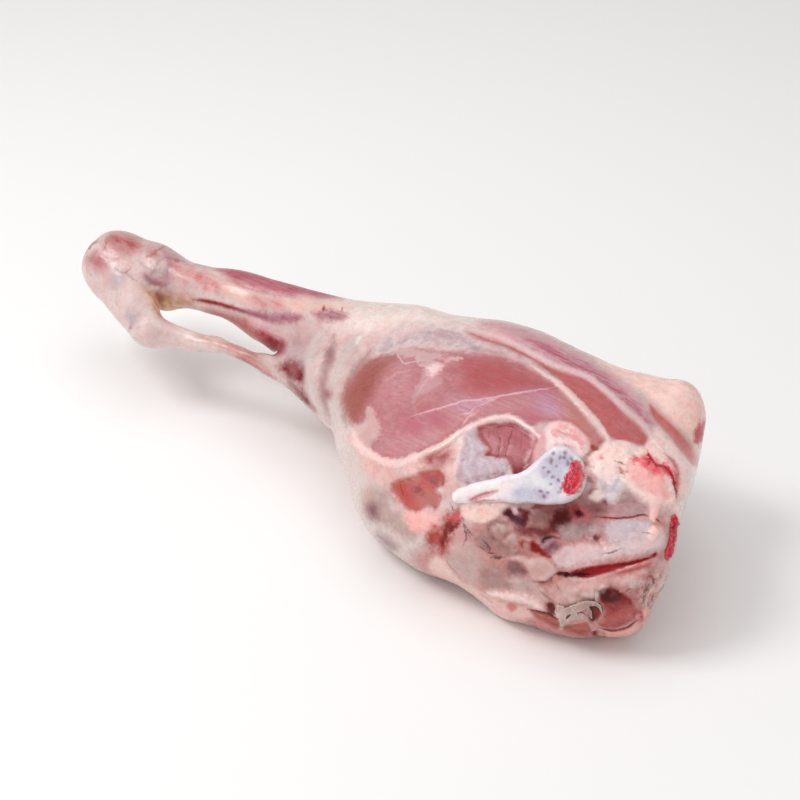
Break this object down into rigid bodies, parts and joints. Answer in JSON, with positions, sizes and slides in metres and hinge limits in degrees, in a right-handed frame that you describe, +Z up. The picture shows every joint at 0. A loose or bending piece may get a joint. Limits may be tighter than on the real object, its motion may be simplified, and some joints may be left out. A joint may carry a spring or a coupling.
{
  "type": "raw veal leg",
  "caption": "Raw hind leg of veal lying on its outer side, with slim shank, open gap behind the heel tendon, cut rump and a split hip bone showing.",
  "frame": {"origin": "under the middle of the whole leg, on the table", "axes": "+X up the leg from the hock to the rump, +Y to the front of the leg, +Z up from the table towards the inner side of the thigh"},
  "size_m": [0.6974, 0.2392, 0.1649],
  "materials": {
    "meat": "wet raw muscle under fat and membrane",
    "bone": "wet white bone with a spongy red end",
    "red_bone": "sawn spongy bone"
  },
  "bodies": {
    "root": {"leg": "meat", "aitch_bone": "bone", "rump_bone": "red_bone"}
  },
  "joints": []
}
